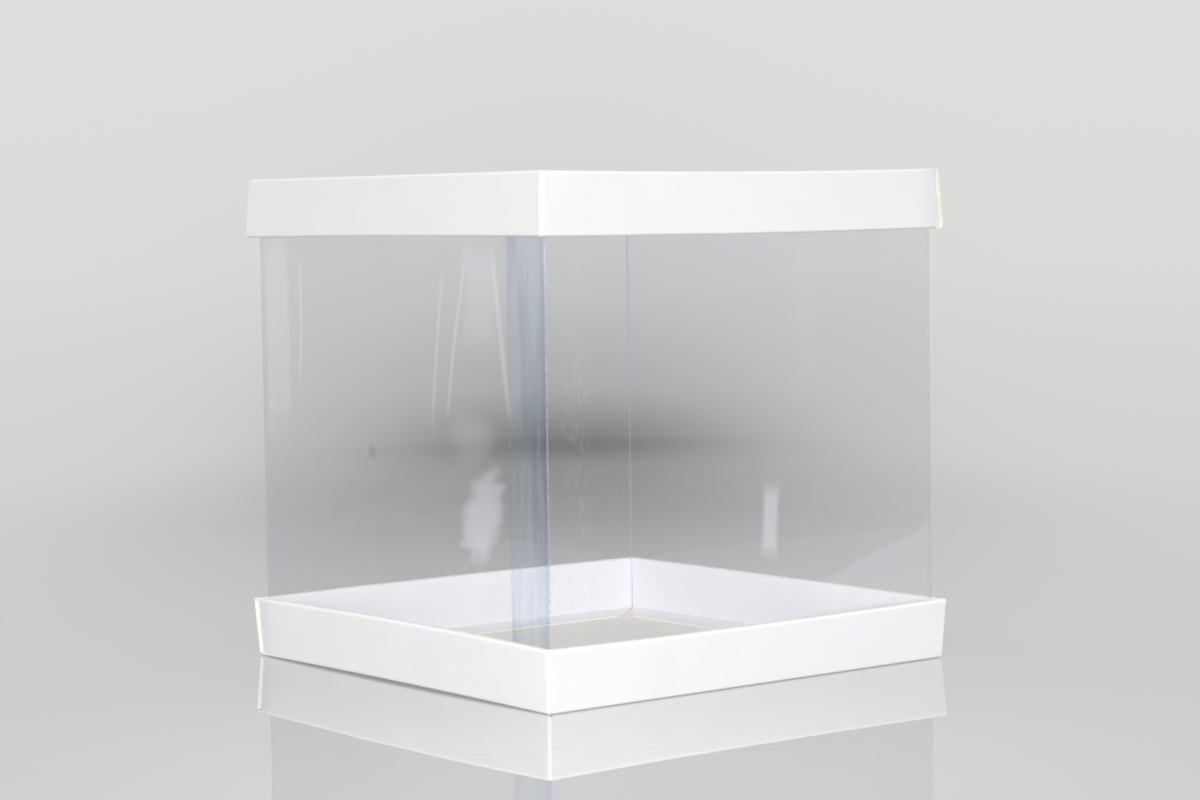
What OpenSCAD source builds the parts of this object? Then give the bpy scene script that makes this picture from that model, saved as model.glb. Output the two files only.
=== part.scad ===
// Clear favour box: a square film sleeve that stands in a shallow white board base and wears a lid made the same way.
// Both trays are folded from flat board. Every wall is double, rolled over at the rim and held down by a mitred flap.
// Units are millimetres, +Z is up, the front faces -Y, and the origin is the middle of the underside.

/* [Sleeve] */
// Outside width of the square film sleeve, corner to corner
sleeve_w = 150; // [80:1:250]
// Height of the film sleeve
sleeve_h = 150.5; // [60:0.5:250]
// Thickness of the film
film_t = 0.3; // [0.2:0.05:0.5]
// Inside radius of the film's four creases
film_r = 0.2; // [0.1:0.05:0.5]
// Width of the glued lap inside the left panel, from the front crease
lap_w = 18; // [8:1:30]

/* [Board] */
// Thickness of the coated board
board_t = 0.5; // [0.3:0.05:0.8]
// Inside radius of the board's creases
fold_r = 0.3; // [0.2:0.05:0.6]

/* [Trays] */
// Height of the tray walls, from the table to the rim
wall_h = 18.5; // [12:0.5:40]
// How far the outer wall panels lean out at the rim
flare = 1.2; // [0:0.1:2.5]
// Width of the flaps that lie on the tray's floor
flap_w = 14; // [6:0.5:25]
// Extra set-back of a flap's ends beyond a plain 45 degree mitre
mitre_back = 2.5; // [0:0.5:6]

/* [Corners] */
// Length of the tabs that are trapped in the double walls
tab_l = 16; // [8:1:24]
// How much narrower each edge of a tab gets towards its end
tab_taper = 2.5; // [0:0.5:4]
// Depth of the cut that clears the rim at a wrapped corner
rim_cut = 0.6; // [0.2:0.1:3]

/* [Fit] */
// Play between the sleeve and the foot of the walls around it
sleeve_play = 0.1; // [0.05:0.05:1]
// Play between the layers of a double wall, at its foot
layer_play = 0.1; // [0.05:0.05:0.3]

/* [Hidden] */
$fn = 48;

// Flats that stand in for a quarter turn of a crease
bend_steps = 6;

// Square turn between neighbouring sides, and half a turn
square_turn = 90;
half_turn = 2 * square_turn;

// Outside radius of a folded crease, in board and in film
fold_out = fold_r + board_t;
film_out = film_r + film_t;

// Plan: half widths, from the sleeve outwards
sleeve_half = sleeve_w / 2;
roll_half = sleeve_half + sleeve_play;
inner_half = roll_half + fold_r;
outer_half = inner_half + 3 * board_t + 2 * layer_play;

// Elevation: the sleeve stands on the flaps of the base, and the lid's flaps lie on the sleeve
seat_z = 2 * board_t;
box_h = sleeve_h + 2 * seat_z;

// The outer panel leans by this angle, and these are its slant height and its straight stretch
lean = atan(flare / wall_h);
slant_h = wall_h / cos(lean);
foot_s = fold_out * tan((square_turn - lean) / 2);
head_back = fold_out * tan((square_turn + lean) / 2);
head_s = slant_h - head_back;
floor_half = outer_half - foot_s;

// A wrapped corner leans both ways, and its crease runs from above the floor to below the rim
corner_lean = atan(sin(lean));
corner_y = outer_half - (board_t + layer_play) / cos(lean) - fold_out / cos(corner_lean);
corner_foot_s = fold_out + layer_play;
corner_head_s = head_s - rim_cut;

// Corners of one end of a wrapping panel's outline, as distance up the slope and half length; its cut-back
// reaches the rim's half length at the head and runs on past it
wrap_corners = [
    [-fold_out, wrap_half(-fold_out)],
    [corner_head_s, wrap_half(corner_head_s)],
    [head_s + rim_cut, 2 * roll_half - wrap_half(corner_head_s)]
];

// Half the length of a flap's free edge
flap_end_half = roll_half - flap_w - mitre_back;

// The film panels run straight between their creases
film_flat = sleeve_half - film_out;
lap_end = sleeve_half - lap_w;

board_white = [0.95, 0.95, 0.96];
inside_white = [0.90, 0.91, 0.94];
film_clear = [0.80, 0.85, 0.90, 0.35];

// Sides are named by the direction in which they face
right = 0;
back = right + square_turn;
left = back + square_turn;
front = left + square_turn;

// A side's own frame has +X pointing out of the box, Y along the wall and Z away from the tray's floor.
module base_side(side) {
    rotate([0, 0, side]) children();
}

module lid_side(side) {
    translate([0, 0, box_h]) mirror([0, 0, 1]) rotate([0, 0, side]) children();
}

// Points round a bend, from one angle through a turn
function bend(centre, radius, from, turn) = [
    for (i = [0 : bend_steps])
        let (angle = from + turn * i / bend_steps)
            centre + radius * [cos(angle), sin(angle)]
];

// A point on the leaning panel, at a distance up its slope and a depth into the box
function on_slope(s, depth) = [
    outer_half + s * sin(lean) - depth * cos(lean),
    s * cos(lean) + depth * sin(lean)
];

// Half the length of a wrapping panel at a distance up its slope
function wrap_half(s) = corner_y + s * tan(corner_lean);

// A strip of board bent to an X-Z outline, and as long as the wall
module folded(outline, length) {
    rotate([square_turn, 0, 0]) linear_extrude(length, center = true) polygon(outline);
}

// The frame of a leaning outer panel: +X runs up the panel and Z points into the box.
module up_the_wall() {
    translate([outer_half, 0, 0]) rotate([0, lean - square_turn, 0]) children();
}

// The frame of a wrapped corner's crease: +X runs up the crease and Y points along the wall.
module up_the_corner() {
    up_the_wall() translate([0, corner_y, fold_out]) rotate([0, 0, corner_lean]) children();
}

// The tray's floor, up to the creases at its four sides
module floor_panel() {
    color(board_white)
        translate([-floor_half, -floor_half, 0])
            cube([2 * floor_half, 2 * floor_half, board_t]);
}

// An outer panel and the crease at its foot, as long as asked
module outer_panel(length) {
    foot_axis = [floor_half, fold_out];
    folded(
        concat(
            bend(foot_axis, fold_out, -square_turn, square_turn - lean),
            [on_slope(head_s, 0), on_slope(head_s, board_t)],
            bend(foot_axis, fold_r, -lean, lean - square_turn)
        ),
        length
    );
}

// An outer panel with square cut ends, which covers the corner tabs of its neighbours
module cut_wall() {
    color(board_white) outer_panel(2 * roll_half);
}

// An outer panel that wraps round both corners, with its head cut back beside the rim
module wrap_wall() {
    color(board_white)
        intersection() {
            outer_panel(2 * outer_half);
            up_the_wall()
                translate([0, 0, -fold_out])
                    linear_extrude(3 * fold_out)
                        polygon(concat(
                            wrap_corners,
                            [for (i = [len(wrap_corners) - 1 : -1 : 0])
                                [wrap_corners[i][0], -wrap_corners[i][1]]]
                        ));
        }
}

// A tab at the left end of a wrapping panel, seen from outside, with the crease that it hangs on
module corner_tab() {
    crease_foot = corner_foot_s / cos(corner_lean);
    crease_head = corner_head_s / cos(corner_lean);
    color(board_white)
        up_the_corner() {
            translate([crease_foot, 0, 0])
                rotate([0, square_turn, 0])
                    rotate_extrude(angle = square_turn)
                        translate([fold_r, 0])
                            square([board_t, crease_head - crease_foot]);
            translate([0, fold_out, 0])
                rotate([square_turn, 0, 0])
                    linear_extrude(board_t)
                        polygon([
                            [crease_foot, 0],
                            [crease_foot + tab_taper, tab_l],
                            [crease_head - tab_taper, tab_l],
                            [crease_head, 0]
                        ]);
        }
}

// The rim and the inner panel, rolled over the head of an outer panel
module turn_in() {
    head_axis = on_slope(head_s, fold_out);
    rim_axis = [inner_half + fold_out, wall_h - fold_out];
    color(inside_white)
        folded(
            concat(
                bend(head_axis, fold_out, -lean, square_turn + lean),
                bend(rim_axis, fold_out, square_turn, square_turn),
                [[inner_half, seat_z + fold_r], [inner_half + board_t, seat_z + fold_r]],
                bend(rim_axis, fold_r, half_turn, -square_turn),
                bend(head_axis, fold_r, square_turn, -square_turn - lean)
            ),
            2 * roll_half
        );
}

// The mitred flap at the foot of an inner panel, flat on the tray's floor
module floor_flap() {
    flap_axis = [roll_half, seat_z + fold_r];
    flap_edge = inner_half - flap_w;
    color(inside_white)
        intersection() {
            folded(
                concat(
                    bend(flap_axis, fold_out, 0, -square_turn),
                    [[flap_edge, board_t], [flap_edge, seat_z]],
                    bend(flap_axis, fold_r, -square_turn, square_turn)
                ),
                2 * roll_half
            );
            linear_extrude(wall_h)
                polygon([
                    [flap_edge, -flap_end_half],
                    [roll_half, -roll_half],
                    [outer_half, -roll_half],
                    [outer_half, roll_half],
                    [roll_half, roll_half],
                    [flap_edge, flap_end_half]
                ]);
        }
}

// One upright film panel with its right-hand crease, seen from outside; start and end run along the wall
module film_panel(start, end, creased) {
    color(film_clear)
        translate([0, 0, seat_z]) {
            translate([sleeve_half - film_t, start, 0]) cube([film_t, end - start, sleeve_h]);
            if (creased)
                film_crease([film_flat, film_flat]);
        }
}

// A quarter turn of film about an upright crease
module film_crease(place) {
    translate(place)
        rotate_extrude(angle = square_turn)
            translate([film_r, 0])
                square([film_t, sleeve_h]);
}

// The lap that closes the sleeve, glued inside the left panel and creased round to the front panel
module film_lap() {
    color(film_clear)
        translate([-film_t, 0, seat_z]) {
            translate([sleeve_half - film_t, lap_end, 0]) cube([film_t, film_flat - lap_end, sleeve_h]);
            film_crease([film_flat, film_flat]);
        }
}

module base_floor() { floor_panel(); }
module base_front_wall() { base_side(front) cut_wall(); }
module base_back_wall() { base_side(back) cut_wall(); }
module base_left_wall() { base_side(left) wrap_wall(); }
module base_right_wall() { base_side(right) wrap_wall(); }
module base_front_turn_in() { base_side(front) turn_in(); }
module base_back_turn_in() { base_side(back) turn_in(); }
module base_left_turn_in() { base_side(left) turn_in(); }
module base_right_turn_in() { base_side(right) turn_in(); }
module base_front_flap() { base_side(front) floor_flap(); }
module base_back_flap() { base_side(back) floor_flap(); }
module base_left_flap() { base_side(left) floor_flap(); }
module base_right_flap() { base_side(right) floor_flap(); }
module base_front_left_tab() { base_side(left) corner_tab(); }
module base_front_right_tab() { base_side(right) mirror([0, 1, 0]) corner_tab(); }
module base_back_left_tab() { base_side(left) mirror([0, 1, 0]) corner_tab(); }
module base_back_right_tab() { base_side(right) corner_tab(); }

module sleeve_front_panel() { rotate([0, 0, front]) film_panel(film_t - film_flat, film_flat, true); }
module sleeve_right_panel() { rotate([0, 0, right]) film_panel(-film_flat, film_flat, true); }
module sleeve_back_panel() { rotate([0, 0, back]) film_panel(-film_flat, film_flat, true); }
module sleeve_left_panel() { rotate([0, 0, left]) film_panel(-film_flat, sleeve_half, false); }
module sleeve_glue_lap() { rotate([0, 0, left]) film_lap(); }

// The lid is the same tray upside down, turned so that its wrapping walls face front and back.
module lid_top() { lid_side(right) floor_panel(); }
module lid_front_wall() { lid_side(front) wrap_wall(); }
module lid_back_wall() { lid_side(back) wrap_wall(); }
module lid_left_wall() { lid_side(left) cut_wall(); }
module lid_right_wall() { lid_side(right) cut_wall(); }
module lid_front_turn_in() { lid_side(front) turn_in(); }
module lid_back_turn_in() { lid_side(back) turn_in(); }
module lid_left_turn_in() { lid_side(left) turn_in(); }
module lid_right_turn_in() { lid_side(right) turn_in(); }
module lid_front_flap() { lid_side(front) floor_flap(); }
module lid_back_flap() { lid_side(back) floor_flap(); }
module lid_left_flap() { lid_side(left) floor_flap(); }
module lid_right_flap() { lid_side(right) floor_flap(); }
module lid_front_left_tab() { lid_side(front) mirror([0, 1, 0]) corner_tab(); }
module lid_front_right_tab() { lid_side(front) corner_tab(); }
module lid_back_left_tab() { lid_side(back) corner_tab(); }
module lid_back_right_tab() { lid_side(back) mirror([0, 1, 0]) corner_tab(); }

base_floor();
base_front_wall();
base_back_wall();
base_left_wall();
base_right_wall();
base_front_turn_in();
base_back_turn_in();
base_left_turn_in();
base_right_turn_in();
base_front_flap();
base_back_flap();
base_left_flap();
base_right_flap();
base_front_left_tab();
base_front_right_tab();
base_back_left_tab();
base_back_right_tab();
sleeve_front_panel();
sleeve_right_panel();
sleeve_back_panel();
sleeve_left_panel();
sleeve_glue_lap();
lid_top();
lid_front_wall();
lid_back_wall();
lid_left_wall();
lid_right_wall();
lid_front_turn_in();
lid_back_turn_in();
lid_left_turn_in();
lid_right_turn_in();
lid_front_flap();
lid_back_flap();
lid_left_flap();
lid_right_flap();
lid_front_left_tab();
lid_front_right_tab();
lid_back_left_tab();
lid_back_right_tab();
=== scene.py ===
import math

import bmesh
import bpy
from mathutils import Matrix, Quaternion, Vector, noise


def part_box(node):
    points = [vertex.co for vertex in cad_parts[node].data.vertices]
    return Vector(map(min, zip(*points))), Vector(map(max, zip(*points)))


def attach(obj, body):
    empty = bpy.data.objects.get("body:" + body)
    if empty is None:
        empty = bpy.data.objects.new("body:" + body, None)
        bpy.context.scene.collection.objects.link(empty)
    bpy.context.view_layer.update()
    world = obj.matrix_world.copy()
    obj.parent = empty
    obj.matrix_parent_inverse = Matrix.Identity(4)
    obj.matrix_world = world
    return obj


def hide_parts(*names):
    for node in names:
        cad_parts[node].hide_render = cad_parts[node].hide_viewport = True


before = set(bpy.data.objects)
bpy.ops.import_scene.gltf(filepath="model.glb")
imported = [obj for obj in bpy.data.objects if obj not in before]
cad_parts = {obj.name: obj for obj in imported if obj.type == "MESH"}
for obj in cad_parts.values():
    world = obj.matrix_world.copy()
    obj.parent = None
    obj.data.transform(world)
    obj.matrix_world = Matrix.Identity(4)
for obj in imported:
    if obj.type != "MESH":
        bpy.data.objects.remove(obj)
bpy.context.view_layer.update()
scene = bpy.context.scene
mm = 0.001  # everything else is in metres
quarter = math.pi / 2
grainSpan = 0.5  # how wide the grains of Blender's noise are, in its own units
noiseMean = 0.5


def srgb(hexColour):  # an sRGB hex colour as linear RGBA
    channels = [int(hexColour[i:i + 2], 16) / 255 for i in (1, 3, 5)]
    return [c / 12.92 if c <= 0.04045 else ((c + 0.055) / 1.055) ** 2.4 for c in channels] + [1.0]


def addNode(tree, kind, inputs={}, **settings):  # a node with its settings, fed by links or plain values
    node = tree.nodes.new(kind)
    for name, value in settings.items():
        setattr(node, name, value)
    for key, value in inputs.items():
        if isinstance(key, int):
            socket = node.inputs[key]
        else:
            socket = next(s for s in node.inputs if key in (s.identifier, s.name))
        source = value.outputs[0] if isinstance(value, bpy.types.Node) else value
        if isinstance(source, bpy.types.NodeSocket):
            tree.links.new(source, socket)
        else:
            socket.default_value = source
    return node


def grains(place, pattern):  # a noise's inputs, from its grain size, detail and roughness
    size, detail, roughness = pattern
    return {"Vector": place, "Scale": grainSpan / size, "Detail": detail, "Roughness": roughness}


def newMaterial(name):  # an empty node material and its tree
    material = bpy.data.materials.new(name)
    material.use_nodes = True
    material.node_tree.nodes.clear()
    return material, material.node_tree


def makeObject(name, data):
    made = bpy.data.objects.new(name, data)
    scene.collection.objects.link(made)
    return made


# Camera, at the photograph's viewing angle, with its angles in degrees
shot = {
    "lens": 88.0,
    "place": (-0.5674, -0.7283, 0.1414),
    "yaw": 51.927,
    "pitch": -3.7215,
    "roll": -0.8566,
    "nearest": 10 * mm,
}


def placeCamera():
    yaw, pitch, roll = (math.radians(shot[k]) for k in ("yaw", "pitch", "roll"))
    forward = Vector((
        math.cos(pitch) * math.cos(yaw),
        math.cos(pitch) * math.sin(yaw),
        math.sin(pitch),
    ))
    level = forward.cross(Vector((0, 0, 1))).normalized()
    upright = level.cross(forward)
    right = level * math.cos(roll) + upright * math.sin(roll)
    up = upright * math.cos(roll) - level * math.sin(roll)
    turned = Matrix((right, up, -forward)).transposed().to_4x4()
    camera = makeObject("camera", bpy.data.cameras.new("camera"))
    camera.data.lens = shot["lens"]
    camera.data.clip_start = shot["nearest"]
    camera.matrix_world = Matrix.Translation(shot["place"]) @ turned
    scene.camera = camera
    print("camera placed")


placeCamera()

# Patterns are given as grain size, detail and roughness, and relief as strength and height.
# White-lined carton board, clay coated and calendered: a smooth satin white with a faint mottle of fibres
coatedBoard = {
    "colour": "#F5F4F6",
    "secondColour": "#F2F1F4",
    "mottle": (9 * mm, 3.0, 0.5),
    "mottleBand": (0.35, 0.65),  # the part of the pattern over which one colour turns into the other
    "fibres": (0.45 * mm, 2.0, 0.6),
    "roughness": (0.36, 0.52),
    "relief": (0.12, 0.02 * mm),
    "worn": "#FBFAF6",  # where a crease has cracked the coating
}
# Its bare back, pressed pulp: dull and a warm pale grey, with darker flecks of fibre
bareBoard = {
    "colour": "#F3F2EF",
    "secondColour": "#E8E6E2",
    "mottle": (1.6 * mm, 6.0, 0.7),
    "mottleBand": (0.45, 0.72),
    "fibres": (0.3 * mm, 3.0, 0.6),
    "roughness": (0.86, 0.86),
    "relief": (0.3, 0.04 * mm),
}
# Its guillotined edge, open pulp that has yellowed a little: dull cream, with the layers of the board in it
cutBoard = {
    "colour": "#F6F1E4",
    "secondColour": "#EBE2CE",
    "mottle": (0.35 * mm, 4.0, 0.65),
    "mottleBand": (0.0, 1.0),
    "fibres": (0.35 * mm, 4.0, 0.65),
    "roughness": (0.9, 0.9),
    "relief": (0.4, 0.05 * mm),
}
boardIor = 1.5


def boardMaterial(name, board):
    material, tree = newMaterial(name)
    place = addNode(tree, "ShaderNodeTexCoord").outputs["Object"]
    mottle = addNode(tree, "ShaderNodeTexNoise", grains(place, board["mottle"]))
    fibres = addNode(tree, "ShaderNodeTexNoise", grains(place, board["fibres"]))
    low, high = board["mottleBand"]
    spread = addNode(tree, "ShaderNodeMapRange", {"Value": mottle, "From Min": low, "From Max": high})
    colour = addNode(
        tree, "ShaderNodeMix",
        {"Factor_Float": spread, "A_Color": srgb(board["colour"]), "B_Color": srgb(board["secondColour"])},
        data_type="RGBA",
    ).outputs[2]
    if "worn" in board:
        wear = addNode(tree, "ShaderNodeAttribute", attribute_name="wear").outputs["Fac"]
        scuff = addNode(tree, "ShaderNodeMath", {0: wear, 1: fibres}, operation="MULTIPLY")
        colour = addNode(
            tree, "ShaderNodeMix",
            {"Factor_Float": scuff, "A_Color": colour, "B_Color": srgb(board["worn"])},
            data_type="RGBA",
        ).outputs[2]
    smoothest, roughest = board["roughness"]
    rough = addNode(tree, "ShaderNodeMapRange", {"Value": fibres, "To Min": smoothest, "To Max": roughest})
    strength, height = board["relief"]
    relief = addNode(tree, "ShaderNodeBump", {"Height": fibres, "Strength": strength, "Distance": height})
    surface = addNode(
        tree, "ShaderNodeBsdfPrincipled",
        {"Base Color": colour, "Roughness": rough, "IOR": boardIor, "Normal": relief},
    )
    addNode(tree, "ShaderNodeOutputMaterial", {"Surface": surface})
    return material


# The trays. Both are folded from the same flat blank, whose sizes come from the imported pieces.
floorLow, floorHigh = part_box("base_floor")
rollLow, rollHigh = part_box("base_right_turn_in")
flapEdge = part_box("base_right_flap")[0].x
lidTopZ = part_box("lid_top")[1].z

trayBoard = {
    "flare": 1.12 * mm,  # how far the rim stands out past the foot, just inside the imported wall's
    "mitreBack": 2.5 * mm,  # how much a flap is cut back at each end of its free edge
    "tabTaper": 2.5 * mm,  # how much a tab is cut back at each edge of its free end
    "tabLength": 16 * mm,
    "layerPlay": 0.1 * mm,  # air between two layers of board
    "endGap": 0.05 * mm,  # between a covering wall's cut end and the fold beside it
    "cornerClose": 0.25 * mm,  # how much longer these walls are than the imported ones, to close their corners
    "rimCut": 0.6 * mm,  # how far below the rim's crease a tab ends
    "columnWidth": 3 * mm,  # the mesh's spacing along a wall
    "rowHeight": 3 * mm,  # and up it
    "bendSteps": 5,
    "cornerEase": 6 * mm,  # length over which a wrapping wall curves in before its corner
    "cornerSink": 0.08 * mm,  # and how far it curves in
    "foldBulge": 0.5 * mm,  # how far the fold swells towards the face of the wall that covers its tab
    "looseSink": 0.75 * mm,  # how far the wrapping wall curves in at a corner that has sprung apart
    "looseReach": 0.75 * mm,  # and how far the covering wall stands past the fold there
    "longReach": 0.55 * mm,  # how far the covering wall stands past the fold at its tray's long corner
    "weld": 0.02 * mm,  # points of two sheets that are closer than this are joined
    "blankSquare": 270 * mm,  # the square that holds the flat blank in its UV map
}
boardT = floorHigh.z - floorLow.z
seatZ = 2 * boardT  # the top of the flaps, where the sleeve stands
creaseR = rollLow.z - seatZ  # a crease's inside radius, and its outside one
creaseOut = creaseR + boardT
floorHalf = floorHigh.x
rollHalf = rollHigh.y + trayBoard["cornerClose"]
innerHalf = rollLow.x
rimZ = rollHigh.z
lean = math.atan(trayBoard["flare"] / rimZ)
cornerLean = math.atan(math.sin(lean))
# s is the slope distance up an outer wall: its foot's crease ends at footS and its rim's begins at headS
footS = creaseOut * math.tan((quarter - lean) / 2)
headS = rimZ / math.cos(lean) - creaseOut * math.tan((quarter + lean) / 2)
outerHalf = floorHalf + footS
cornerY = outerHalf - (boardT + trayBoard["layerPlay"]) / math.cos(lean) - creaseOut / math.cos(cornerLean)
flapEndHalf = rollHalf - (innerHalf - flapEdge) - trayBoard["mitreBack"]
tabStart = 2 * trayBoard["endGap"]
# The frame of a wrapped corner: +X runs up its crease, and +Z along the tab
upWall = Matrix.Translation((outerHalf, 0, 0)) @ Matrix.Rotation(lean - quarter, 4, "Y")
upCorner = upWall @ Matrix.Translation((0, cornerY, creaseOut)) @ Matrix.Rotation(cornerLean, 4, "Z")


def onSlope(s, depth):  # x and z of a point up the outer wall, at a depth in from its face
    return (
        outerHalf + s * math.sin(lean) - depth * math.cos(lean),
        s * math.cos(lean) + depth * math.sin(lean),
    )


def bend(centre, radius, start, turn):  # points round a crease, with the two ends
    steps = trayBoard["bendSteps"]
    angles = [start + turn * i / steps for i in range(steps + 1)]
    return [(centre[0] + radius * math.cos(a), centre[1] + radius * math.sin(a)) for a in angles]


def straight(a, b, pitch):  # the points between two, ends left out
    count = max(1, round(math.dist(a, b) / pitch))
    return [(a[0] + (b[0] - a[0]) * i / count, a[1] + (b[1] - a[1]) * i / count) for i in range(1, count)]


def wrapHalf(s):  # half length of a wall that wraps its corners, up to its folds
    return cornerY + s * math.tan(cornerLean)


def cutHalf(s):  # half length of a wall that covers the tabs, up to the folds of the walls beside it
    return outerHalf + s * math.sin(lean) - creaseOut - trayBoard["endGap"]


def rowsOfSide():  # the rows of a side's sheet: up the wall, over the rim and down to the flap's free edge
    pitch = trayBoard["rowHeight"]
    foot = bend((floorHalf, creaseOut), creaseOut, -quarter, quarter - lean)
    head = bend(onSlope(headS, creaseOut), creaseOut, -lean, quarter + lean)
    rim = bend((innerHalf + creaseOut, rimZ - creaseOut), creaseOut, quarter, quarter)
    turn = bend((rollHalf, seatZ + creaseR), creaseR, 0, -quarter)
    tabLow, tabHigh = creaseOut + trayBoard["layerPlay"], headS - trayBoard["rimCut"]
    count = round((tabHigh - tabLow) / pitch)
    climb = [tabLow + (tabHigh - tabLow) * i / count for i in range(count + 1)]
    rows = []

    def add(point, wear, slope=None, half=rollHalf):  # run is the distance along the blank
        run = rows[-1]["run"] + math.dist(point, rows[-1]["point"]) if rows else floorHalf
        rows.append({"point": point, "wear": wear, "slope": slope, "half": half, "run": run})

    for point in foot[:-1] + [onSlope(footS, 0)]:
        add(point, 1.0, footS)
    for s in climb:
        add(onSlope(s, 0), 0.0, s)
    for point in head:
        add(point, 1.0, headS)
    for point in straight(head[-1], rim[0], pitch) + rim:
        add(point, 1.0)
    for point in straight(rim[-1], turn[0], pitch):
        add(point, 0.0)
    for point in turn:
        add(point, 1.0)
    start, end = turn[-1], (flapEdge, seatZ)
    for point in straight(start, end, pitch) + [end]:
        share = (point[0] - start[0]) / (end[0] - start[0])
        add(point, 0.0, half=rollHalf + (flapEndHalf - rollHalf) * share)
    return rows


def columnShares():  # places along a wall, as shares of its half length
    count = round(2 * rollHalf / trayBoard["columnWidth"])
    return [2 * i / count - 1 for i in range(count + 1)]


def addSheet(bm, uvLayer, wearLayer, grid):  # a sheet from rows of (place, flat place, wear)
    made = [[bm.verts.new(p) for p, flat, wear in row] for row in grid]
    square = trayBoard["blankSquare"]
    for r in range(len(grid) - 1):
        for c in range(len(grid[r]) - 1):
            at = [(r, c), (r, c + 1), (r + 1, c + 1), (r + 1, c)]
            face = bm.faces.new([made[i][j] for i, j in at])
            face.smooth = True
            for loop, (i, j) in zip(face.loops, at):
                flat = grid[i][j][1]
                loop[uvLayer].uv = (0.5 + flat[0] / square, 0.5 + flat[1] / square)
    for row, verts in zip(grid, made):
        for (p, flat, wear), v in zip(row, verts):
            v[wearLayer] = wear


def coveringReach(row, step, past):  # how far from mid length a covering wall goes in one row
    x, z = row["point"]
    if row["slope"] is not None:
        full = cutHalf(row["slope"]) + past
        return row["half"] + (full - row["half"]) * min(1.0, step / trayBoard["bendSteps"])
    inner = innerHalf + boardT
    if x > rollHalf:
        share = max(0.0, min(1.0, (x - innerHalf) / creaseOut))
        return inner + (cutHalf(headS) - inner) * share
    if row["half"] == rollHalf and z > seatZ + creaseR:
        return inner
    return row["half"]


def sunk(p, looseEnd):  # a point of a wrapping wall, drawn in towards the folded corner
    ease = trayBoard["cornerEase"]
    near = max(0.0, (abs(p.y) - (rollHalf - ease)) / ease)
    depth = trayBoard["looseSink" if p.y * looseEnd > 0 else "cornerSink"]
    return Vector((p.x - depth * near ** 2 * min(1.0, p.z / creaseOut), p.y, p.z))


def stripOfSide(rows, wraps, looseEnd, longEnd):  # a side's main sheet; a covering wall reaches the folds
    past = {-1: 0.0, 1: 0.0, looseEnd: trayBoard["looseReach"], longEnd: trayBoard["longReach"]}
    strip = []
    for step, row in enumerate(rows):
        x, z = row["point"]
        spans = [t * row["half"] for t in columnShares()]
        if not wraps:
            spans[0] = -coveringReach(row, step, past[-1])
            spans[-1] = coveringReach(row, step, past[1])
        line = [(Vector((x, y, z)), (row["run"], y), row["wear"]) for y in spans]
        if wraps and row["slope"] is not None:
            line = [(sunk(p, looseEnd), flat, wear) for p, flat, wear in line]
        strip.append(line)
    return strip


def atEnd(line, sign, looseEnd):  # cells for either end of a wall, from (place, run, flat y, wear)
    cells = [
        (sunk(Vector((p.x, sign * p.y, p.z)), looseEnd), (run, sign * flatY), wear)
        for p, run, flatY, wear in line
    ]
    return cells if sign > 0 else cells[::-1]


def roundCorner(row, slope, rise, bulge, covered=True):  # a line round the fold, rise above level
    steps = trayBoard["bendSteps"]
    t = slope / math.cos(cornerLean) + creaseOut * math.sin(rise)
    radius = creaseOut * math.cos(rise)
    line = []
    for i in range(steps + 1):
        a = quarter * i / steps
        p = upCorner @ Vector((t, bulge * radius * math.sin(a), -radius * math.cos(a)))
        line.append((p, row["run"], wrapHalf(slope) + creaseOut * a, 1.0))
    reach = tabStart if covered else 0
    p = upCorner @ Vector((t, radius, reach))
    line.append((p, row["run"], line[-1][2] + reach, 0.0))
    return line


def foldOfCorner(foot, climb, head, bulge):  # the fold's lines, from its foot's pole to its rim's
    steps = trayBoard["bendSteps"]

    def pole(row, slope):
        x, z = row["point"]
        return (Vector((x, wrapHalf(slope), z)), row["run"], wrapHalf(slope), 1.0)

    lines = [[pole(foot[0], footS)] * (steps + 2)]
    for i, row in enumerate(foot[1:-1], 1):
        rise = (quarter - lean) * (i / steps - 1)
        lines.append(roundCorner(row, footS, rise, bulge, covered=(i == steps - 1)))
    for row in foot[-1:] + climb + head[:1]:
        lines.append(roundCorner(row, row["slope"], 0.0, bulge))
    for i, row in enumerate(head[1:-1], 1):
        lines.append(roundCorner(row, headS, (quarter + lean) * i / steps, bulge))
    top = upCorner @ Vector((headS / math.cos(cornerLean) + creaseOut, 0, tabStart))
    last = (top, head[-1]["run"], wrapHalf(headS) + tabStart, 1.0)
    lines.append([pole(head[-1], headS)] * (steps + 1) + [last])
    return lines


def tabOfCorner(climb):  # the tab's lines, from the fold to its tapered free end
    count = round(trayBoard["tabLength"] / trayBoard["columnWidth"])
    low, high = climb[0]["slope"], climb[-1]["slope"]
    lines = []
    for row in climb:
        share = (row["slope"] - low) / (high - low)
        line = []
        for i in range(count + 1):
            reach = tabStart + (trayBoard["tabLength"] - tabStart) * i / count
            slide = trayBoard["tabTaper"] * (1 - 2 * share) * i / count
            p = upCorner @ Vector((row["slope"] / math.cos(cornerLean) + slide, creaseOut, reach))
            line.append((p, row["run"], wrapHalf(row["slope"]) + creaseOut * quarter + reach, 0.0))
        lines.append(line)
    return lines


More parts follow.
